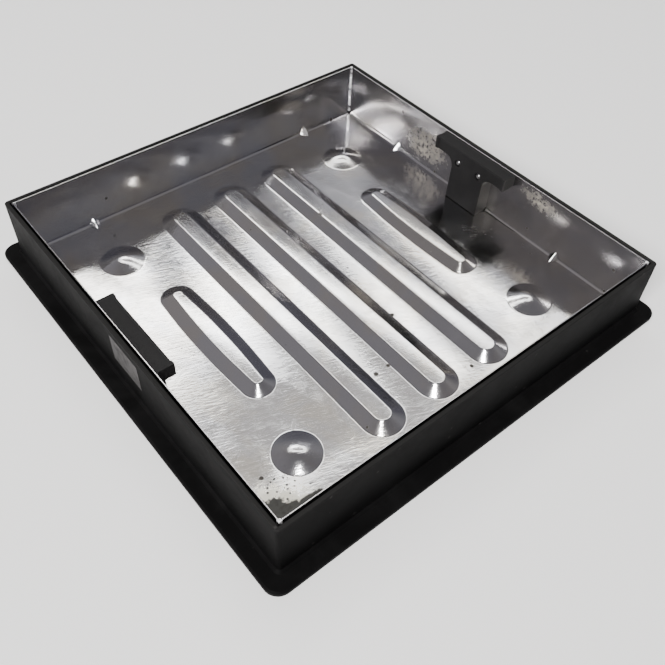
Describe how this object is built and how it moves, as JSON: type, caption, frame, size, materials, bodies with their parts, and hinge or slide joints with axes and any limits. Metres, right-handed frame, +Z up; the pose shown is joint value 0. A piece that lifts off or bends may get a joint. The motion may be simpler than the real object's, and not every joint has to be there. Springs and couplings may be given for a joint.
{
  "type": "recessed paving cover",
  "caption": "Square pressed steel tray with upright walls, ribbed floor and riveted T-shaped lifting housings, resting in a flanged black plastic frame.",
  "frame": {"origin": "centre of the frame's underside", "axes": "+Z up out of the ground; the long ribs run along Y, and the lifting housings stand against the walls at -X and +X"},
  "size_m": [0.556, 0.556, 0.08],
  "materials": {
    "frame": "moulded black plastic, fine matt skin",
    "tray": "galvanised sheet, half bright, finely streaked, dusty near one corner",
    "housing": "moulded black plastic, fine matt skin",
    "rivet": "plain",
    "label": "plain light grey, blank"
  },
  "bodies": {
    "root": {"frame": "frame", "tray": "tray", "left_lifting_housing": "housing", "right_lifting_housing": "housing", "rivets": "rivet", "blank_label": "label"}
  },
  "joints": []
}
